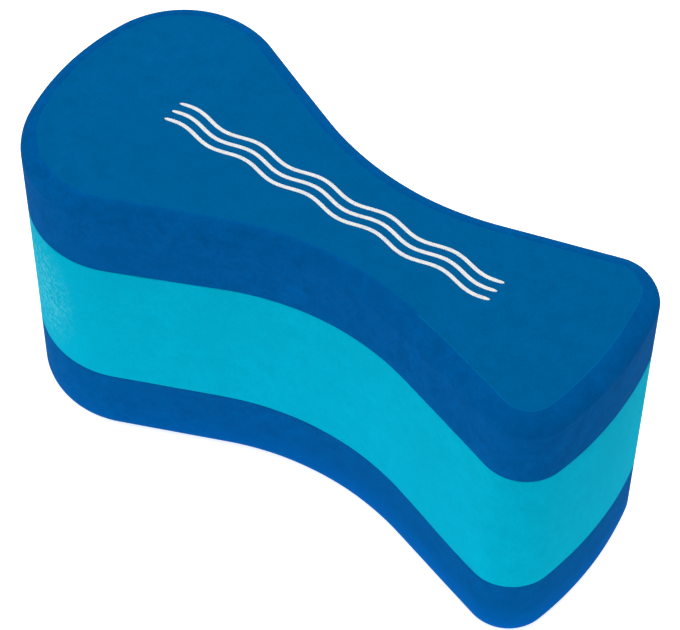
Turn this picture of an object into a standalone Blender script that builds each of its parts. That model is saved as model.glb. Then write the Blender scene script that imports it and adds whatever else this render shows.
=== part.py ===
"""Pull buoy: the foam float that a swimmer holds between the thighs.

Three sheets of closed-cell foam with one hourglass plan are glued into a block. The outer rims
of the block are rounded over, and a wave pattern is printed on its upper face.

Metres, +Z up through the stack. The origin is the middle of the plan on the resting face.
+X points along the float to its small lobe, and the plan is symmetric about the X axis.
"""
import math

import bmesh
import bpy
from mathutils import Vector

# Plan of the block: a large lobe at -X, a waist, and a small lobe at +X
LENGTH = 0.240
LARGE_END_RADIUS = 0.095        # shallow arc across the end of the large lobe
LARGE_CORNER_RADIUS = 0.0385    # the large lobe's two round corners
LARGE_HALF_WIDTH = 0.0543
SMALL_END_RADIUS = 0.135
SMALL_CORNER_RADIUS = 0.0174
SMALL_HALF_WIDTH = 0.0430
WAIST_RADIUS = 0.112            # hollow in each side, where the thighs go
WAIST_HALF_WIDTH = 0.0246
WAIST_X = 0.020

# Stack of layers, from the resting face up
OUTER_LAYER_THICKNESS = 0.032
CENTRE_LAYER_THICKNESS = 0.066
ADHESIVE_THICKNESS = 0.0004
CLEARANCE = 0.0003              # between pieces that touch
ADHESIVE_INSET = 0.001          # the glue stops short of the block's sides

# Rounded rims. Each meets the side smoothly and the flat face at a slight crease.
TOP_RIM = 0.0062
BOTTOM_RIM = 0.0048
CREASE_ANGLE = math.radians(10)
RIM_STEPS = 6
SHARP_EDGE_ANGLE = math.radians(20)

# Printed waves on the upper face
PRINT_COUNT = 3
PRINT_THICKNESS = 0.0002
PRINT_START_X = -0.072
PRINT_LENGTH = 0.141
PRINT_CENTRE_Y = 0.0014
PRINT_STROKE = 0.0015
PRINT_PITCH = 0.0045
WAVE_LENGTH = PRINT_LENGTH / 5
WAVE_HEIGHT = 0.0013
WAVE_STEPS = 80
STROKE_END_SHARE = 0.2          # width of a stroke's two ends, as a share of its full width
STROKE_TAPER_POWER = 8          # higher keeps the full width nearer to the ends

# Points along each stretch of the plan
END_STEPS = 6
LARGE_CORNER_STEPS = 16
WAIST_STEPS = 12
SMALL_CORNER_STEPS = 12


def arc(centre, radius, start, end, steps):
    """Points on an arc, both ends included."""
    angles = [start + (end - start) * i / steps for i in range(steps + 1)]
    return [centre + radius * Vector((math.cos(a), math.sin(a))) for a in angles]


def lobe_corner(end_centre, end_radius, corner_radius, half_width, outward):
    """Centre of the corner arc that touches the end arc inside and the lobe's widest line."""
    rise = half_width - corner_radius
    run = math.sqrt((end_radius - corner_radius) ** 2 - rise ** 2)
    return Vector((end_centre.x + outward * run, rise))


def tangent_angle(corner_centre, corner_radius, waist_centre, waist_radius, turn):
    """Direction from the corner's centre to where a straight side leaves it for the waist."""
    across = waist_centre - corner_centre
    lean = math.acos((corner_radius + waist_radius) / across.length)
    return math.atan2(across.y, across.x) + turn * lean


def upper_half(inset):
    """Half of the plan at +Y, from the large end to the small end, moved inwards by inset."""
    large_end = Vector((-LENGTH / 2 + LARGE_END_RADIUS, 0))
    small_end = Vector((LENGTH / 2 - SMALL_END_RADIUS, 0))
    waist = Vector((WAIST_X, WAIST_HALF_WIDTH + WAIST_RADIUS))
    large = lobe_corner(large_end, LARGE_END_RADIUS, LARGE_CORNER_RADIUS, LARGE_HALF_WIDTH, -1)
    small = lobe_corner(small_end, SMALL_END_RADIUS, SMALL_CORNER_RADIUS, SMALL_HALF_WIDTH, 1)

    large_start = math.atan2(large.y - large_end.y, large.x - large_end.x)
    small_end_angle = math.atan2(small.y - small_end.y, small.x - small_end.x)
    large_side = tangent_angle(large, LARGE_CORNER_RADIUS, waist, WAIST_RADIUS, 1)
    small_side = tangent_angle(small, SMALL_CORNER_RADIUS, waist, WAIST_RADIUS, -1)

    points = arc(large_end, LARGE_END_RADIUS - inset, math.pi, large_start, END_STEPS)
    points += arc(large, LARGE_CORNER_RADIUS - inset, large_start, large_side, LARGE_CORNER_STEPS)[1:]
    points += arc(waist, WAIST_RADIUS + inset, large_side - math.pi, small_side - math.pi, WAIST_STEPS)
    points += arc(small, SMALL_CORNER_RADIUS - inset, small_side, small_end_angle, SMALL_CORNER_STEPS)
    points += arc(small_end, SMALL_END_RADIUS - inset, small_end_angle, 0, END_STEPS)[1:]
    return points


def plan(inset=0.0):
    """The whole plan, anticlockwise seen from above."""
    upper = upper_half(inset)
    lower = [Vector((p.x, -p.y)) for p in upper[1:-1]]
    return lower + upper[::-1]


def rim_profile(size):
    """Inset and depth below the flat face, from the face's edge out to the straight side."""
    start = math.sin(CREASE_ANGLE)
    steps = []
    for i in range(RIM_STEPS + 1):
        angle = CREASE_ANGLE + (math.pi / 2 - CREASE_ANGLE) * i / RIM_STEPS
        inset = (1 - math.sin(angle)) / (1 - start)
        depth = 1 - math.cos(angle) / math.cos(CREASE_ANGLE)
        steps.append((size * inset, size * depth))
    return steps


def closed_solid(name, rings):
    """A solid with flat ends, through rings of equally many points listed from the bottom up."""
    shape = bmesh.new()
    levels = [[shape.verts.new((p.x, p.y, z)) for p in points] for points, z in rings]
    count = len(levels[0])
    for low, high in zip(levels, levels[1:]):
        for i in range(count):
            j = (i + 1) % count
            shape.faces.new((low[i], low[j], high[j], high[i]))
    shape.faces.new(levels[0][::-1])
    shape.faces.new(levels[-1])
    bmesh.ops.recalc_face_normals(shape, faces=shape.faces)
    mesh = bpy.data.meshes.new(name)
    shape.to_mesh(mesh)
    shape.free()
    mesh.shade_smooth()
    mesh.set_sharp_from_angle(angle=SHARP_EDGE_ANGLE)
    solid = bpy.data.objects.new(name, mesh)
    bpy.context.collection.objects.link(solid)
    return solid


def add_material(solid, name, colour, roughness):
    """Gives a solid a plain material of its own."""
    material = bpy.data.materials.new(name)
    material.use_nodes = True
    surface = material.node_tree.nodes["Principled BSDF"]
    surface.inputs["Base Color"].default_value = (*colour, 1.0)
    surface.inputs["Roughness"].default_value = roughness
    surface.inputs["Metallic"].default_value = 0.0
    solid.data.materials.append(material)


def foam_layers():
    """Two thin outer sheets with a rounded outer rim, and the thick sheet between them."""
    half_bond = ADHESIVE_THICKNESS / 2 + CLEARANCE
    lower_bond = OUTER_LAYER_THICKNESS
    upper_bond = OUTER_LAYER_THICKNESS + CENTRE_LAYER_THICKNESS
    top = upper_bond + OUTER_LAYER_THICKNESS

    bottom_rings = [(plan(inset), depth) for inset, depth in rim_profile(BOTTOM_RIM)]
    bottom_rings.append((plan(), lower_bond - half_bond))
    bottom = closed_solid("bottom_foam_layer", bottom_rings)
    add_material(bottom, "dark_blue_foam_bottom", (0.003, 0.095, 0.32), 0.75)

    centre = closed_solid("centre_foam_layer", [(plan(), lower_bond + half_bond),
                                                (plan(), upper_bond - half_bond)])
    add_material(centre, "cyan_foam", (0.0, 0.40, 0.56), 0.72)

    top_rings = [(plan(), upper_bond + half_bond)]
    top_rings += [(plan(inset), top - depth) for inset, depth in reversed(rim_profile(TOP_RIM))]
    upper = closed_solid("top_foam_layer", top_rings)
    add_material(upper, "dark_blue_foam_top", (0.002, 0.105, 0.31), 0.75)


def adhesive_films():
    """The thin film of contact adhesive in each of the two joints between the sheets."""
    bonds = {
        "lower_adhesive_film": OUTER_LAYER_THICKNESS,
        "upper_adhesive_film": OUTER_LAYER_THICKNESS + CENTRE_LAYER_THICKNESS,
    }
    for name, height in bonds.items():
        film = closed_solid(name, [(plan(ADHESIVE_INSET), height - ADHESIVE_THICKNESS / 2),
                                   (plan(ADHESIVE_INSET), height + ADHESIVE_THICKNESS / 2)])
        add_material(film, name + "_adhesive", (0.62, 0.55, 0.36), 0.45)


def wave_outline(across):
    """Outline of one printed wave whose middle line runs at the distance across from the X axis."""
    left, right = [], []
    for i in range(WAVE_STEPS + 1):
        share = i / WAVE_STEPS
        phase = math.tau * share * PRINT_LENGTH / WAVE_LENGTH
        slope = math.tau * WAVE_HEIGHT / WAVE_LENGTH * math.cos(phase)
        middle = Vector((PRINT_START_X + share * PRINT_LENGTH, across + WAVE_HEIGHT * math.sin(phase)))
        # The stroke swells from a slim end to its full width and back
        taper = (2 * share - 1) ** STROKE_TAPER_POWER
        half = PRINT_STROKE / 2 * math.sqrt(1 - (1 - STROKE_END_SHARE ** 2) * taper)
        normal = Vector((-slope, 1)).normalized()
        left.append(middle + half * normal)
        right.append(middle - half * normal)
    return right + left[::-1]


def printed_waves():
    """Ink lines on the upper face, side by side along the float."""
    base = 2 * OUTER_LAYER_THICKNESS + CENTRE_LAYER_THICKNESS + CLEARANCE
    for i in range(PRINT_COUNT):
        outline = wave_outline(PRINT_CENTRE_Y + (i - (PRINT_COUNT - 1) / 2) * PRINT_PITCH)
        name = f"print_wave_{i + 1}"
        wave = closed_solid(name, [(outline, base), (outline, base + PRINT_THICKNESS)])
        add_material(wave, name + "_ink", (0.80, 0.80, 0.79), 0.6)


for old in list(bpy.data.objects):
    bpy.data.objects.remove(old)
foam_layers()
adhesive_films()
printed_waves()
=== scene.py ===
"""Looks of the pull buoy: three glued sheets of foam with a wave print on top.

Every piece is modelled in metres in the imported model's frame: +X along the float to its small
lobe, +Z up through the stack, the origin in the middle of the plan on the resting face.
"""

import math

import bmesh
import bpy
import numpy as np
from mathutils import Matrix, Vector, geometry, noise


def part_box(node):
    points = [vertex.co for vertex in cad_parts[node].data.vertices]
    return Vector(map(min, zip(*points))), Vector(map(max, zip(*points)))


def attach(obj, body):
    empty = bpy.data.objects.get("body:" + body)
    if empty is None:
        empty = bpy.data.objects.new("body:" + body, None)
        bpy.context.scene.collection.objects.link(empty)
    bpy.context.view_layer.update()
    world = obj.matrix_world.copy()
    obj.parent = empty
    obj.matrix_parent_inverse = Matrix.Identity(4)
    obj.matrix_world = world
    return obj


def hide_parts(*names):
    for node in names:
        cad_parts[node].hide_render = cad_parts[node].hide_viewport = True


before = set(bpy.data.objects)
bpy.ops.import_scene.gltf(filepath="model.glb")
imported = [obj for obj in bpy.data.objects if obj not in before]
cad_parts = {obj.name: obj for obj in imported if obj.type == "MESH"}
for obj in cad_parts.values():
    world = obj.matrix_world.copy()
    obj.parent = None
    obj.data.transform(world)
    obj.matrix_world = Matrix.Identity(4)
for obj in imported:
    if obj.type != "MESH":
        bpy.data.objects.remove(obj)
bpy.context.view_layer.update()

# Plan, as the design has it. Its length and greatest width are read from the frame.
LARGE_END_RADIUS = 0.095
LARGE_CORNER_RADIUS = 0.0385
SMALL_END_RADIUS = 0.135
SMALL_CORNER_RADIUS = 0.0174
SMALL_HALF_WIDTH = 0.0430
WAIST_RADIUS = 0.112
WAIST_HALF_WIDTH = 0.0246
WAIST_X = 0.020

# Rounded rims of the outer layers
TOP_RIM = 0.0062
BOTTOM_RIM = 0.0048
CREASE_ANGLE = math.radians(10)
LIP_HEIGHT = 0.00018            # slight raised lip where the rounding starts
LIP_WIDTH = 0.0010
LIP_MARGIN = 0.0001             # level ring just inside the lip
FIRST_SLOPE = ((0.90, 0.15), (0.25, 0.90))      # share of its width left, share of its depth gone
CUTTER_LEDGE = 0.00012          # fine step that the rounding cutter leaves low on the rim
LEDGE_STRETCH = 1.5             # the step's height over its depth
LEDGE_FOOT = 0.0006             # upright stretch below the step
RIM_STEPS = 12

# The top rim at the small lobe, which is cut wider and steeper and has a painted highlight along its
# edge
STEEP_RIM_WIDTH = 0.0072
STEEP_CREASE_ANGLE = math.radians(32)
STEEP_START_DEPTH = 0.0003
STEEP_START_WIDTH = 0.0005
STEEP_SIDE_X = (0.030, 0.070)   # where the side's rim turns steep along the float
STEEP_SIDE_Y = (0.020, 0.0)     # where it turns steep across the float
STEEP_END_X = (0.102, 0.112)    # where the end's rim turns steep over the whole width
HIGHLIGHT_EDGE_SHARE = 0.6           # where the rim is at least this steep, its edge carries a painted highlight
HIGHLIGHT_STRIP = 4                  # the painted highlight strip's lower ring, counted from the flat face

# Cut edges of the sheets at the joints, and the joints' wander from their design levels
EDGE_ROUNDING = 0.00018
EDGE_STEPS = 3
EDGE_MARGIN = 5                 # glued ring inside the edge, in multiples of the rounding
EDGE_FOOT = 4                   # upright stretch beside the edge, in the same
DRIFT = 0.0020
UPPER_DRIFT_MIDDLE = -0.0003
UPPER_DRIFT_LOW_X = -0.085
UPPER_DRIFT_WAVELENGTH = 0.275
LOWER_DRIFT_MIDDLE = 0.0002
LOWER_DIP_X = 0.085
LOWER_DIP_WIDTH = 0.022

# Glue
BOND_THICKNESS = 0.00010
BOND_INSET = 0.0007
BOND_INSET_SPREAD = 0.0003
BOND_EDGE_WAVELENGTH = 0.004
BOND_SEED = 21

# Printed waves
INK_THICKNESS = 0.00008
INK_STROKE = 0.0015
INK_WAVES = 5
INK_STEPS = 420
INK_END_POWER = 60              # higher keeps the stroke's full width nearer to its ends
INK_SPREAD = 0.02               # unevenness of the stroke's width, as a share of it
INK_SPREAD_WAVELENGTH = 0.0012
INK_EDGE = ((1.0, -0.00004), (1.0, 0.4), (0.93, 0.85), (0.8, 1.0))      # share out, share up

# How far the foam is from a perfect shape: a long wave and a weaker short one
WALL_RIPPLE = 0.00016
WALL_WAVELENGTHS = (0.055, 0.017)
WALL_UPRIGHT_SHARES = (0.6, 0.8)    # the waves are drawn out upwards
WALL_SHORT_WAVE = 0.35
FACE_RIPPLE = 0.00012
FACE_WAVELENGTHS = (0.060, 0.019)
FACE_SHORT_WAVE = 0.3

# Seeds of the layers' unevenness
TOP_SEED = 3
CENTRE_SEED = 7
BOTTOM_SEED = 13
UNDERSIDE_SEED_STEP = 11

# Fineness of the meshes
PLAN_POINTS = 440
ARC_SPACING = 0.0002
WALL_STEP = 0.0030
FACE_STEP = 0.0028
GRID_CLEARANCE = 0.6            # free strip inside the face's edge, in multiples of the step
WELD_DISTANCE = 1e-7
FILL_PRECISION = 1e-9

# Foam colours, in linear light
BLUE_CUT = (0.0, 0.093, 0.313)
# painted bounce light from the floor, towards the bottom layer's resting face
BLUE_PAINTED_BOUNCE_LIGHT = (0.0, 0.120, 0.46)
BLUE_SKIN = (0.0, 0.108, 0.302)
# painted highlight along the crease of the steep top rim
BLUE_PAINTED_HIGHLIGHT = (0.0, 0.140, 0.345)
CYAN_CUT = (0.0, 0.405, 0.592)
# painted reflection of the floor, grazing on the cyan layer at the large lobe's end
CYAN_PAINTED_REFLECTION = (0.09, 0.54, 0.64)

# Foam pattern: waves or cells per metre, and places
MOTTLE_SCALE = 26
GRAIN_SCALE = 130
CELL_SCALE = 1300
POLISH_SCALE = 330
SPECK_SCALE = 520
FOAM_RELIEF_DEPTH = 0.00015
# Where the painted reflection of the floor sits and how it fades
REFLECTION_PLACE = (-0.092, -0.042, 0.066)
REFLECTION_DRAW = (1.0, 1.0, 0.5)    # the painted reflection's patch is drawn out upwards
REFLECTION_FADE = (0.008, 0.021)
# Where the painted bounce light from the floor fades in, and how strong it gets
BOUNCE_LIGHT_FADE_Z = (0.0, 0.019)
BOUNCE_LIGHT_FADE_X = (-0.06, 0.09)
BOUNCE_LIGHT_SHARES = (0.35, 0.9)

# Studio
FLOOR_REACH = 3.0
FLOOR_GAP = 0.0002              # below the resting face
GLOW_FADE = (0.175, 0.455)      # distances from the float's middle
GLOW_STRENGTHS = (0.69, 0.15)
SKY_STRENGTH = 0.45
SOFTBOX_SIZE = 0.8
SOFTBOX_DISTANCE = 1.4
LIT_POINT = Vector((0, 0, 0.06))
SOFTBOXES = {                   # azimuth, elevation and power
    "left_softbox": (-60, 25, 3.3),
    "front_softbox": (20, 25, 1.2),
    "top_softbox": (0, 85, 7.8),
    "back_softbox": (180, 30, 5.6),
    "back_left_softbox": (-140, 25, 1.0),
}
CAMERA_AZIMUTH = 35.21
CAMERA_ELEVATION = 52.01
CAMERA_ROLL = 0.76
CAMERA_DISTANCE = 0.980
CAMERA_TARGET = Vector((0.00243, 0.00267, 0.065))
CAMERA_LENS = 140.07
SENSOR_WIDTH = 36
CAMERA_CLIP_START = 0.01


# ---------------------------------------------------------------- plan

def arc(centre, radius, start, end):
    """Points on an arc and the unit directions away from its centre."""
    count = max(2, round(abs(end - start) * radius / ARC_SPACING))
    angles = np.linspace(start, end, count)
    outward = np.column_stack([np.cos(angles), np.sin(angles)])
    return np.array(centre) + radius * outward, outward


def lobe_corner(end_centre, end_radius, corner_radius, half_width, outward):
    """Centre of the corner arc that touches the end arc inside and the lobe's widest line."""
    rise = half_width - corner_radius
    run = math.sqrt((end_radius - corner_radius) ** 2 - rise ** 2)
    return Vector((end_centre.x + outward * run, rise))


def tangent_angle(corner_centre, corner_radius, waist_centre, turn):
    """Direction from the corner's centre to where a straight side leaves it for the waist."""
    across = waist_centre - corner_centre
    lean = math.acos((corner_radius + WAIST_RADIUS) / across.length)
    return math.atan2(across.y, across.x) + turn * lean


def upper_half_plan(length, half_width):
    """Points and outward normals of the half at +Y, from the large end to the small end."""
    large_end = Vector((-length / 2 + LARGE_END_RADIUS, 0))
    small_end = Vector((length / 2 - SMALL_END_RADIUS, 0))
    waist = Vector((WAIST_X, WAIST_HALF_WIDTH + WAIST_RADIUS))
    large = lobe_corner(large_end, LARGE_END_RADIUS, LARGE_CORNER_RADIUS, half_width, -1)
    small = lobe_corner(small_end, SMALL_END_RADIUS, SMALL_CORNER_RADIUS, SMALL_HALF_WIDTH, 1)

    large_start = math.atan2(large.y - large_end.y, large.x - large_end.x)
    small_end_angle = math.atan2(small.y - small_end.y, small.x - small_end.x)
    large_side = tangent_angle(large, LARGE_CORNER_RADIUS, waist, 1)
    small_side = tangent_angle(small, SMALL_CORNER_RADIUS, waist, -1)

    hollow, inward = arc(waist, WAIST_RADIUS, large_side - math.pi, small_side - math.pi)
    stretches = [
        arc(large_end, LARGE_END_RADIUS, math.pi, large_start),
        arc(large, LARGE_CORNER_RADIUS, large_start, large_side),
        (hollow, -inward),
        arc(small, SMALL_CORNER_RADIUS, small_side, small_end_angle),
        arc(small_end, SMALL_END_RADIUS, small_end_angle, 0),
    ]
    return np.vstack([s[0] for s in stretches]), np.vstack([s[1] for s in stretches])


def even_plan(length, half_width):
    """The whole plan, anticlockwise, as evenly spaced points with outward normals."""
    upper, normals = upper_half_plan(length, half_width)
    points = np.vstack([upper * (1, -1), upper[::-1], upper[:1] * (1, -1)])
    normals = np.vstack([normals * (1, -1), normals[::-1], normals[:1] * (1, -1)])
    steps = np.hypot(*np.diff(points, axis=0).T)
    along = np.concatenate([[0], np.cumsum(steps)])
    wanted = np.linspace(0, along[-1], PLAN_POINTS, endpoint=False)
    even = np.column_stack([np.interp(wanted, along, points[:, i]) for i in range(2)])
    out = np.column_stack([np.interp(wanted, along, normals[:, i]) for i in range(2)])
    return even, out / np.linalg.norm(out, axis=1)[:, None]


def half_width_at(x):
    """Half the plan's width at the station x, or -1 beyond its ends."""
    upper = plan_points[plan_points[:, 1] > 0]
    upper = upper[np.argsort(upper[:, 0])]
    return np.interp(x, upper[:, 0], upper[:, 1], left=-1, right=-1)


# ---------------------------------------------------------------- unevenness

def soft_noise(point, wavelength, seed):
    """Smooth noise between about -1 and 1 with the given wavelength."""
    return noise.noise(Vector(point) / wavelength + Vector((seed, 2.3 * seed, 0.7)))


def wall_shift(x, y, z, seed):
    """How far a point of the side lies outwards."""
    long_z, short_z = (z * share for share in WALL_UPRIGHT_SHARES)
    long_wave = soft_noise((x, y, long_z), WALL_WAVELENGTHS[0], seed)
    short_wave = soft_noise((x, y, short_z), WALL_WAVELENGTHS[1], seed + 5)
    return WALL_RIPPLE * (long_wave + WALL_SHORT_WAVE * short_wave)


def face_shift(x, y, seed):
    """How far a flat face lies below its highest level at (x, y)."""
    long_wave = soft_noise((x, y, 0), FACE_WAVELENGTHS[0], seed)
    short_wave = soft_noise((x, y, 0), FACE_WAVELENGTHS[1], seed + 3)
    depth = max(0.0, 1.0 + long_wave + FACE_SHORT_WAVE * short_wave)
    return FACE_RIPPLE * depth / (2 + FACE_SHORT_WAVE)


def upper_bond_drift(x):
    """How far the upper joint lies above its design level: one slow wave along the float."""
    phase = math.tau * (x - UPPER_DRIFT_LOW_X) / UPPER_DRIFT_WAVELENGTH
    return UPPER_DRIFT_MIDDLE - DRIFT * math.cos(phase)


def lower_bond_drift(x):
    """How far the lower joint lies above its design level: a dip before the small lobe."""
    return LOWER_DRIFT_MIDDLE - DRIFT * math.exp(-((x - LOWER_DIP_X) / LOWER_DIP_WIDTH) ** 2)


# ---------------------------------------------------------------- meshes

def join_rings(shape, lower, upper):
    """Faces between two closed rings of equally many vertices."""
    for i in range(len(lower)):
        j = (i + 1) % len(lower)
        shape.faces.new((lower[i], lower[j], upper[j], upper[i]))


def finish_piece(shape, name):
    """Turns a mesh under construction into an object in the scene."""
    mesh = bpy.data.meshes.new(name)
    shape.to_mesh(mesh)
    shape.free()
    piece = bpy.data.objects.new(name, mesh)
    bpy.context.scene.collection.objects.link(piece)
    return piece


# ---------------------------------------------------------------- foam layers

def rim_profile(height, width, crease_angle, start_width, start_depth):
    """Inset and depth below the lip's top, from just inside the face's edge out to the side.

    A first narrow slope leads from the face's edge to the depth where the rounding starts.
    """
    round_start = width - start_width
    change = start_depth - LIP_HEIGHT
    steps = [(width + LIP_MARGIN, LIP_HEIGHT), (width, LIP_HEIGHT)]
    for left, gone in FIRST_SLOPE:
        steps.append((round_start + left * start_width, LIP_HEIGHT + gone * change))
    for i in range(RIM_STEPS + 1):
        angle = crease_angle + (math.pi / 2 - crease_angle) * i / RIM_STEPS
        inset = (1 - math.sin(angle)) / (1 - math.sin(crease_angle))
        depth = 1 - math.cos(angle) / math.cos(crease_angle)
        steps.append((CUTTER_LEDGE + (round_start - CUTTER_LEDGE) * inset,
                      start_depth + (height - start_depth) * depth))
    ledge_end = height + LEDGE_STRETCH * CUTTER_LEDGE
    return steps + [(0.0, ledge_end), (0.0, ledge_end + LEDGE_FOOT)]


def smooth_share(value, start, end):
    """0 at start and 1 at end, with a smooth change between them."""
    share = min(1.0, max(0.0, (value - start) / (end - start)))
    return share * share * (3 - 2 * share)


def steep_share(x, y):
    """How steep the top rim is cut: fully on the -Y side of the small lobe and round its end."""
    side = smooth_share(x, *STEEP_SIDE_X) * smooth_share(y, *STEEP_SIDE_Y)
    return min(1.0, side + smooth_share(x, *STEEP_END_X))


def bond_edge_profile():
    """Inset and depth of a sheet's sharp cut edge at a joint, from the glued face to the side."""
    quarter = [math.pi / 2 * i / EDGE_STEPS for i in range(EDGE_STEPS + 1)]
    edge = [(EDGE_ROUNDING * (1 - math.sin(a)), EDGE_ROUNDING * (1 - math.cos(a))) for a in quarter]
    return [(EDGE_MARGIN * EDGE_ROUNDING, 0.0)] + edge + [(0.0, EDGE_FOOT * EDGE_ROUNDING)]


def layer_profile(low, high, low_edge, high_edge):
    """Insets and heights from the low face's edge, up the side, to the high face's edge."""
    bottom = [(inset, low + depth) for inset, depth in low_edge]
    top = [(inset, high - depth) for inset, depth in reversed(high_edge)]
    start, end = bottom[-1][1], top[0][1]
    count = max(1, round((end - start) / WALL_STEP))
    side = [(0.0, start + (end - start) * i / count) for i in range(1, count)]
    return bottom + side + top


def face_grid(inset):
    """Points spread evenly over the flat face, in rows like bricks, clear of its edge."""
    points = []
    rows = int(2 * np.abs(plan_points[:, 1]).max() / FACE_STEP)
    reach = np.abs(plan_points[:, 0]).max()
    for row in range(-rows, rows + 1):
        y = row * FACE_STEP * math.sqrt(3) / 2
        x = -reach + FACE_STEP * (0.25 + 0.5 * (row % 2))
        while x < reach:
            clear = min(half_width_at(x), half_width_at(x - inset), half_width_at(x + inset))
            if abs(y) < clear - inset:
                points.append(Vector((x, y)))
            x += FACE_STEP
    return points


def close_with_grid(shape, ring, level, upward, lift):
    """Fills a ring of vertices with an even net of triangles."""
    grid = face_grid(TOP_RIM + GRID_CLEARANCE * FACE_STEP)
    outline = [Vector((v.co.x, v.co.y)) for v in ring]
    edges = [(i, (i + 1) % len(ring)) for i in range(len(ring))]
    inside_only = 1
    filled = geometry.delaunay_2d_cdt(outline + grid, edges, [], inside_only, FILL_PRECISION)
    points, _, triangles, sources = filled[:4]
    verts = []
    for point, source in zip(points, sources):
        known = [i for i in source if i < len(ring)]
        if known:
            verts.append(ring[known[0]])
        else:
            height = level + lift(point.x, point.y, level)
            verts.append(shape.verts.new((point.x, point.y, height)))
    for triangle in triangles:
        corners = [verts[i] for i in triangle]
        shape.faces.new(corners if upward else corners[::-1])


def layer_lift(low, high, seed, open_low, open_high):
    """Gives the function for how far a point is raised.

    It adds the open faces' unevenness to the joints' drift, and both die out along the side.
    """
    straight_low = low + 2 * BOTTOM_RIM if open_low else low
    straight_high = high - 2 * TOP_RIM if open_high else high

    def lift(x, y, z):
        rise = 0.0
        up = min(1.0, max(0.0, (z - straight_low) / (straight_high - straight_low)))
        if not open_high:
            rise += up * (lower_bond_drift(x) if open_low else upper_bond_drift(x))
        if not open_low:
            rise += (1 - up) * (upper_bond_drift(x) if open_high else lower_bond_drift(x))
        if open_high:
            near = max(0.0, 1 - (high - z) / TOP_RIM)
            rise -= near * face_shift(x, y, seed)
        if open_low:
            near = max(0.0, 1 - (z - low) / BOTTOM_RIM)
            rise += near * face_shift(x, y, seed + UNDERSIDE_SEED_STEP)
        return rise

    return lift


def layer_rings(shape, profile, steep_profile, lift, seed):
    """Rings of vertices up a layer's side, on the mild profile, the steep one or between them."""
    rings = []
    for mild, steep in zip(profile, steep_profile):
        ring = []
        for point, normal in zip(plan_points, plan_normals):
            share = steep_share(point[0], point[1])
            inset = mild[0] + (steep[0] - mild[0]) * share
            height = mild[1] + (steep[1] - mild[1]) * share
            shift = wall_shift(point[0], point[1], height, seed)
            x, y = point + normal * (shift - inset)
            ring.append(shape.verts.new((x, y, height + lift(x, y, height))))
        rings.append(ring)
    return rings


def close_layer(shape, ring, level, upward, lift, is_open):
    """Closes one end of a layer: finely where it is seen, with one face where it is glued."""
    if is_open:
        close_with_grid(shape, ring, level, upward, lift)
    else:
        shape.faces.new(ring if upward else ring[::-1])


def foam_layer(name, profile, steep_profile, seed, open_low, open_high):
    """One sheet of foam. An open face is seen, so it is finely meshed and slightly uneven.

    Its material slots are the cut side, the faces, and, on top if it has one, the edge with a painted
    highlight.
    """
    low, high = profile[0][1], profile[-1][1]
    lift = layer_lift(low, high, seed, open_low, open_high)
    shape = bmesh.new()
    rings = layer_rings(shape, profile, steep_profile, lift, seed)
    for lower, upper in zip(rings, rings[1:]):
        join_rings(shape, lower, upper)
    side_faces = len(shape.faces)
    close_layer(shape, rings[0], low, False, lift, open_low)
    close_layer(shape, rings[-1], high, True, lift, open_high)

    strip_start = (len(rings) - HIGHLIGHT_STRIP) * PLAN_POINTS
    for index, face in enumerate(shape.faces):
        face.smooth = True
        face.material_index = 1 if index >= side_faces else 0
        # the strip along the steep top edge gets the colour with the painted highlight
        if open_high and strip_start <= index < strip_start + PLAN_POINTS:
            middle = face.calc_center_median()
            if steep_share(middle.x, middle.y) > HIGHLIGHT_EDGE_SHARE:
                face.material_index = 2
    return finish_piece(shape, name)


# ---------------------------------------------------------------- glue and print

def bond_film(name, height, drift, seed):
    """The film of glue in a joint, with an uneven edge just inside the side."""
    shape = bmesh.new()
    rings = []
    for level in (height - BOND_THICKNESS / 2, height + BOND_THICKNESS / 2):
        ring = []
        for point, normal in zip(plan_points, plan_normals):
            spread = soft_noise((*point, 0), BOND_EDGE_WAVELENGTH, seed)
            x, y = point - normal * (BOND_INSET + BOND_INSET_SPREAD * spread)
            ring.append(shape.verts.new((x, y, level + drift(x))))
        rings.append(ring)
    join_rings(shape, *rings)
    shape.faces.new(rings[0][::-1])
    shape.faces.new(rings[1])
    return finish_piece(shape, name)


def ink_line(shape, middle, normal, half, surface_level):
    """One cross-section of a printed stroke: vertices from its right edge over to its left."""
    section = [(-share, rise) for share, rise in INK_EDGE] + [(0.0, 1.0)]
    section += [(share, rise) for share, rise in reversed(INK_EDGE)]
    line = []
    for side, rise in section:
        point = middle + normal * half * side
        level = surface_level - LIP_HEIGHT - face_shift(point.x, point.y, TOP_SEED)
        line.append(shape.verts.new((point.x, point.y, level + INK_THICKNESS * rise)))
    return line


def ink_wave(name, node, surface_level, seed):
    """A printed wave: a thin skin of ink that follows the foam, with softly rounded edges."""
    low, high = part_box(node)
    length = high.x - low.x
    across = (low.y + high.y) / 2
    swing = (high.y - low.y - INK_STROKE) / 2
    shape = bmesh.new()
    lines = []
    for i in range(INK_STEPS + 1):
        share = i / INK_STEPS
        x = low.x + length * share
        phase = math.tau * INK_WAVES * share
        slope = math.tau * INK_WAVES * swing / length * math.cos(phase)
        half = INK_STROKE / 2 * math.sqrt(max(0.0, 1 - abs(2 * share - 1) ** INK_END_POWER))
        half *= 1 + INK_SPREAD * soft_noise((x, across, 0), INK_SPREAD_WAVELENGTH, seed)
        middle = Vector((x, across + swing * math.sin(phase)))
        lines.append(ink_line(shape, middle, Vector((-slope, 1)).normalized(), half, surface_level))
    for first, second in zip(lines, lines[1:]):
        for i in range(len(first)):
            j = (i + 1) % len(first)
            shape.faces.new((first[i], second[i], second[j], first[j]))
    shape.faces.new(lines[0])
    shape.faces.new(lines[-1][::-1])
    bmesh.ops.remove_doubles(shape, verts=shape.verts, dist=WELD_DISTANCE)
    bmesh.ops.recalc_face_normals(shape, faces=shape.faces)
    for face in shape.faces:
        face.smooth = True
    return finish_piece(shape, name)


# ---------------------------------------------------------------- materials

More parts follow.
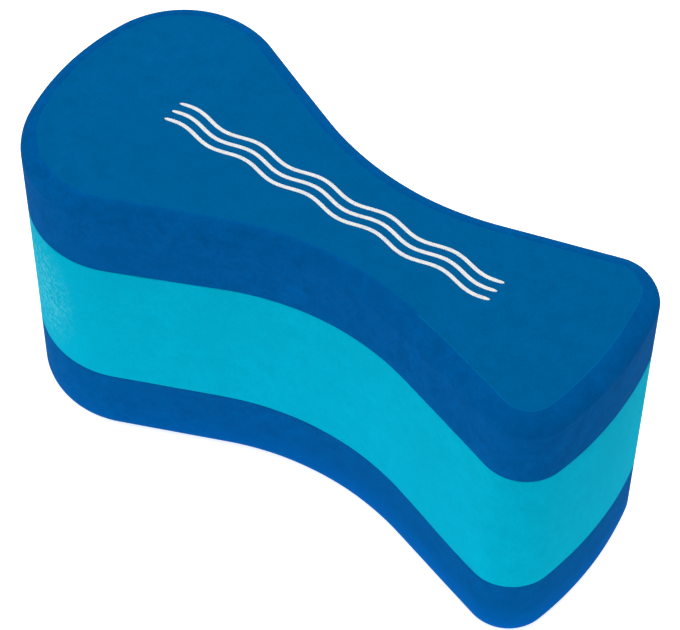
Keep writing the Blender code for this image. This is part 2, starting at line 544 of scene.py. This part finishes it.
class Nodes:
    """Adds and links the shader nodes of one material."""

    MIX_FIRST, MIX_SECOND, MIX_RESULT = 6, 7, 2     # a Mix node's colour sockets

    def __init__(self, name):
        self.material = bpy.data.materials.new(name)
        self.material.use_nodes = True
        self.tree = self.material.node_tree
        self.surface = self.tree.nodes["Principled BSDF"]
        self.place = self.tree.nodes.new("ShaderNodeTexCoord").outputs["Object"]

    def feed(self, socket, value):
        """Links an output to an input socket, or sets the socket to a plain value."""
        if isinstance(value, bpy.types.NodeSocket):
            self.tree.links.new(value, socket)
        else:
            socket.default_value = value

    def add(self, kind, inputs, **settings):
        """A node with its settings and its input values or links."""
        node = self.tree.nodes.new(kind)
        for key, value in settings.items():
            setattr(node, key, value)
        for key, value in inputs.items():
            self.feed(node.inputs[key], value)
        return node

    def noise(self, scale, detail, roughness=0.5):
        """Fractal noise from 0 to 1, scale in waves per metre."""
        node = self.add("ShaderNodeTexNoise", {"Vector": self.place, "Scale": scale, "Detail": detail,
                                               "Roughness": roughness})
        return node.outputs["Fac"]

    def cells(self):
        """Distance from the middles of the foam's cells, in cell sizes."""
        node = self.add("ShaderNodeTexVoronoi", {"Vector": self.place, "Scale": CELL_SCALE})
        return node.outputs["Distance"]

    def ramp(self, value, low, high, to_low=0.0, to_high=1.0):
        """Value mapped smoothly from one range to another."""
        node = self.add("ShaderNodeMapRange", {"Value": value, "From Min": low, "From Max": high,
                                               "To Min": to_low, "To Max": to_high},
                        interpolation_type="SMOOTHSTEP")
        return node.outputs["Result"]

    def mix(self, share, first, second):
        """Blend of two colours."""
        first, second = ((*c, 1.0) if isinstance(c, tuple) else c for c in (first, second))
        node = self.add("ShaderNodeMix", {"Factor": share, self.MIX_FIRST: first,
                                          self.MIX_SECOND: second}, data_type="RGBA")
        return node.outputs[self.MIX_RESULT]

    def math(self, operation, first, second):
        """Arithmetic on two values."""
        return self.add("ShaderNodeMath", {0: first, 1: second}, operation=operation).outputs[0]

    def vector_math(self, operation, first, second):
        """Arithmetic on two vectors."""
        node = self.add("ShaderNodeVectorMath", {0: first, 1: second}, operation=operation)
        return node.outputs["Vector"]

    def length(self, vector):
        """Length of a vector."""
        node = self.add("ShaderNodeVectorMath", {0: vector}, operation="LENGTH")
        return node.outputs["Value"]

    def bump(self, height, strength, distance, invert=False):
        """Relief on the surface from a height."""
        node = self.add("ShaderNodeBump", {"Height": height, "Strength": strength,
                                           "Distance": distance}, invert=invert)
        self.feed(self.surface.inputs["Normal"], node.outputs["Normal"])

    def finish(self, **inputs):
        """Sets or links the shader's own inputs and gives the material."""
        for name, value in inputs.items():
            self.feed(self.surface.inputs[name.replace("_", " ")], value)
        return self.material


def shade(colour, brightness):
    """A colour made darker or lighter."""
    return tuple(channel * brightness for channel in colour)


def add_painted_reflection(nodes, base, reflection_colour):
    """A painted reflection of the floor: a mottled pale patch on one corner of the large lobe."""
    away = nodes.vector_math("SUBTRACT", nodes.place, REFLECTION_PLACE)
    distance = nodes.length(nodes.vector_math("MULTIPLY", away, REFLECTION_DRAW))
    patch = nodes.ramp(distance, *REFLECTION_FADE, 1.0, 0.0)
    specks = nodes.ramp(nodes.noise(SPECK_SCALE, 5.0, 0.85), 0.46, 0.62)
    return nodes.mix(nodes.math("MULTIPLY", patch, specks), base, reflection_colour)


def add_painted_bounce_light(nodes, base, bounce_light_colour):
    """Painted bounce light from the floor: a brighter colour towards the resting face, and more so at
    the small lobe.
    """
    split = nodes.add("ShaderNodeSeparateXYZ", {"Vector": nodes.place})
    bounce_fade = nodes.ramp(split.outputs["Z"], *BOUNCE_LIGHT_FADE_Z, 1.0, 0.0)
    share = nodes.ramp(split.outputs["X"], *BOUNCE_LIGHT_FADE_X, *BOUNCE_LIGHT_SHARES)
    return nodes.mix(nodes.math("MULTIPLY", bounce_fade, share), base, bounce_light_colour)


def foam_material(name, colour, contrast, relief, roughness, reflection_colour=None, bounce_light_colour=None):
    """Closed-cell foam: soft mottling, fine grain and small cells in relief, with an optional painted
    reflection and optional painted bounce light.
    """
    nodes = Nodes(name)
    mottle = nodes.noise(MOTTLE_SCALE, 2.0)
    grain = nodes.noise(GRAIN_SCALE, 5.0, 0.85)
    cells = nodes.cells()
    polish = nodes.noise(POLISH_SCALE, 3.0, 0.7)

    base = nodes.mix(nodes.ramp(grain, 0.25, 0.75), shade(colour, 1 - contrast),
                     shade(colour, 1 + contrast))
    base = nodes.mix(nodes.ramp(mottle, 0.35, 0.65, 0.0, 0.5), base, shade(colour, 0.95))
    base = nodes.mix(nodes.ramp(cells, 0.45, 0.85, 0.0, 0.3), base, shade(colour, 0.80))
    if reflection_colour:
        base = add_painted_reflection(nodes, base, reflection_colour)
    if bounce_light_colour:
        base = add_painted_bounce_light(nodes, base, bounce_light_colour)

    rough = nodes.ramp(polish, 0.35, 0.65, roughness + 0.05, roughness - 0.05)
    height = nodes.math("ADD", nodes.math("MULTIPLY", grain, 1.2), nodes.math("MULTIPLY", cells, -0.8))
    nodes.bump(height, relief, FOAM_RELIEF_DEPTH)
    tint = (*colour, 1.0)
    return nodes.finish(Base_Color=base, Roughness=rough, Specular_IOR_Level=0.006, Specular_Tint=tint,
                        Sheen_Weight=0.01, Sheen_Roughness=0.5, Sheen_Tint=tint)


def ink_material():
    """Matte white ink, a little thinner over the deeper cells."""
    nodes = Nodes("white_ink")
    cells = nodes.cells()
    cloud = nodes.noise(300, 3.0)
    base = nodes.mix(nodes.ramp(cloud, 0.35, 0.70), (0.80, 0.80, 0.795), (0.74, 0.745, 0.75))
    pinholes = nodes.ramp(cells, 0.62, 0.85, 0.0, 0.35)
    base = nodes.mix(pinholes, base, (0.35, 0.50, 0.62))
    rough = nodes.ramp(cloud, 0.3, 0.7, 0.50, 0.62)
    nodes.bump(cells, 0.25, INK_THICKNESS, invert=True)
    return nodes.finish(Base_Color=base, Roughness=rough, Specular_IOR_Level=0.3)


def glue_material():
    """Dried contact glue, stained by the blue foam."""
    nodes = Nodes("bond_glue")
    cloud = nodes.noise(420, 3.0)
    base = nodes.mix(nodes.ramp(cloud, 0.35, 0.70), (0.02, 0.16, 0.30), (0.05, 0.26, 0.38))
    return nodes.finish(Base_Color=base, Roughness=nodes.ramp(cloud, 0.3, 0.7, 0.35, 0.55))


def floor_material():
    """Pale studio paper with a barely visible tooth, lit from below around the float."""
    nodes = Nodes("studio_floor")
    tooth = nodes.noise(900, 2.0)
    base = nodes.mix(nodes.ramp(tooth, 0.3, 0.7), (0.93, 0.93, 0.93), (0.96, 0.96, 0.96))
    glow = nodes.ramp(nodes.length(nodes.place), *GLOW_FADE, *GLOW_STRENGTHS)
    return nodes.finish(Base_Color=base, Roughness=0.9, Specular_IOR_Level=0.1,
                        Emission_Color=(1, 1, 1, 1), Emission_Strength=glow)


# ---------------------------------------------------------------- studio

def direction_to(azimuth, elevation):
    """Unit vector from the float to a viewer. Azimuth 0 is at -Y, and 90 degrees at +X."""
    turn, rise = math.radians(azimuth), math.radians(elevation)
    return Vector((math.sin(turn) * math.cos(rise), -math.cos(turn) * math.cos(rise), math.sin(rise)))


def add_floor():
    """A pale floor that the float stands on."""
    mesh = bpy.data.meshes.new("studio_floor")
    corners = [(x * FLOOR_REACH, y * FLOOR_REACH, 0) for x, y in ((-1, -1), (1, -1), (1, 1), (-1, 1))]
    mesh.from_pydata(corners, [], [(0, 1, 2, 3)])
    floor = bpy.data.objects.new("studio_floor", mesh)
    floor.location.z = -FLOOR_GAP
    mesh.materials.append(floor_material())
    bpy.context.scene.collection.objects.link(floor)


def add_softbox(name, azimuth, elevation, power):
    """A square area light that faces the float's middle."""
    light = bpy.data.lights.new(name, "AREA")
    light.shape = "SQUARE"
    light.size = SOFTBOX_SIZE
    light.energy = power
    softbox = bpy.data.objects.new(name, light)
    direction = direction_to(azimuth, elevation)
    softbox.location = LIT_POINT + direction * SOFTBOX_DISTANCE
    softbox.rotation_euler = direction.to_track_quat("Z", "Y").to_euler()
    softbox.visible_camera = False
    bpy.context.scene.collection.objects.link(softbox)


def add_studio():
    """White surroundings and soft lights."""
    world = bpy.data.worlds.new("studio")
    bpy.context.scene.world = world
    world.use_nodes = True
    background = world.node_tree.nodes["Background"]
    background.inputs["Color"].default_value = (1, 1, 1, 1)
    background.inputs["Strength"].default_value = SKY_STRENGTH
    for name, (azimuth, elevation, power) in SOFTBOXES.items():
        add_softbox(name, azimuth, elevation, power)


def add_camera():
    """A long lens, looking down on the float's near corner."""
    camera = bpy.data.cameras.new("camera")
    camera.sensor_width = SENSOR_WIDTH
    camera.lens = CAMERA_LENS
    camera.clip_start = CAMERA_CLIP_START
    view = bpy.data.objects.new("camera", camera)
    back = direction_to(CAMERA_AZIMUTH, CAMERA_ELEVATION)
    right = Vector((0, 0, 1)).cross(back).normalized()
    up = back.cross(right)
    angle = math.radians(CAMERA_ROLL)
    turned_right = math.cos(angle) * right + math.sin(angle) * up
    turned_up = -math.sin(angle) * right + math.cos(angle) * up
    place = Matrix((turned_right, turned_up, back)).transposed().to_4x4()
    place.translation = CAMERA_TARGET + back * CAMERA_DISTANCE
    view.matrix_world = place
    bpy.context.scene.collection.objects.link(view)
    bpy.context.scene.camera = view


# ---------------------------------------------------------------- assembly

float_low, float_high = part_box("centre_foam_layer")
plan_points, plan_normals = even_plan(float_high.x - float_low.x, float_high.y)

top_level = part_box("top_foam_layer")[1].z
upper_bond = sum(point.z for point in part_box("upper_adhesive_film")) / 2
lower_bond = sum(point.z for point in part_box("lower_adhesive_film")) / 2
base_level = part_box("bottom_foam_layer")[0].z
half_bond = BOND_THICKNESS / 2

mild_rim = rim_profile(TOP_RIM, TOP_RIM, CREASE_ANGLE, LIP_WIDTH, 0.0)
steep_rim = rim_profile(TOP_RIM, STEEP_RIM_WIDTH, STEEP_CREASE_ANGLE, STEEP_START_WIDTH,
                        STEEP_START_DEPTH)
bottom_rim = rim_profile(BOTTOM_RIM, BOTTOM_RIM, CREASE_ANGLE, LIP_WIDTH, 0.0)
bond_edge = bond_edge_profile()

top_profiles = [layer_profile(upper_bond + half_bond, top_level, bond_edge, rim)
                for rim in (mild_rim, steep_rim)]
centre_profile = layer_profile(lower_bond + half_bond, upper_bond - half_bond, bond_edge, bond_edge)
bottom_profile = layer_profile(base_level, lower_bond - half_bond, bottom_rim, bond_edge)

top_foam = foam_layer("top_foam", *top_profiles, TOP_SEED, False, True)
centre_foam = foam_layer("centre_foam", centre_profile, centre_profile, CENTRE_SEED, False, False)
bottom_foam = foam_layer("bottom_foam", bottom_profile, bottom_profile, BOTTOM_SEED, True, False)

# the cut side carries painted bounce light from the floor towards the resting face
blue_cut = foam_material("blue_foam_cut", BLUE_CUT, contrast=0.19, relief=0.50, roughness=0.85,
                         bounce_light_colour=BLUE_PAINTED_BOUNCE_LIGHT)
blue_skin = foam_material("blue_foam_skin", BLUE_SKIN, contrast=0.10, relief=0.30, roughness=0.80)
# a paler colour along the steep top edge: a painted highlight on the crease
blue_painted_highlight = foam_material("blue_foam_painted_highlight_edge", BLUE_PAINTED_HIGHLIGHT, contrast=0.12, relief=0.30, roughness=0.80)
# the cyan side carries a painted reflection of the floor at one corner of the large lobe
cyan_cut = foam_material("cyan_foam_cut", CYAN_CUT, contrast=0.08, relief=0.35, roughness=0.80,
                         reflection_colour=CYAN_PAINTED_REFLECTION)

for layer, node, slot, materials in (
        (top_foam, "top_foam_layer", "dark_blue_foam", (blue_cut, blue_skin, blue_painted_highlight)),
        (centre_foam, "centre_foam_layer", "cyan_foam", (cyan_cut, cyan_cut)),
        (bottom_foam, "bottom_foam_layer", "dark_blue_foam", (blue_cut, blue_skin))):
    for material in materials:
        layer.data.materials.append(material)
    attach(layer, "root")
    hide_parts(node)

glue = glue_material()
for name, node, height, drift in (
        ("upper_bond_film", "upper_adhesive_film", upper_bond, upper_bond_drift),
        ("lower_bond_film", "lower_adhesive_film", lower_bond, lower_bond_drift)):
    film = bond_film(name, height, drift, BOND_SEED)
    film.data.materials.append(glue)
    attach(film, "root")
    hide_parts(node)

ink = ink_material()
for number in (1, 2, 3):
    wave = ink_wave(f"ink_wave_{number}", f"print_wave_{number}", top_level, number)
    wave.data.materials.append(ink)
    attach(wave, "root")
    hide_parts(f"print_wave_{number}")

add_floor()
add_studio()
add_camera()
bpy.context.scene.view_settings.view_transform = "Standard"
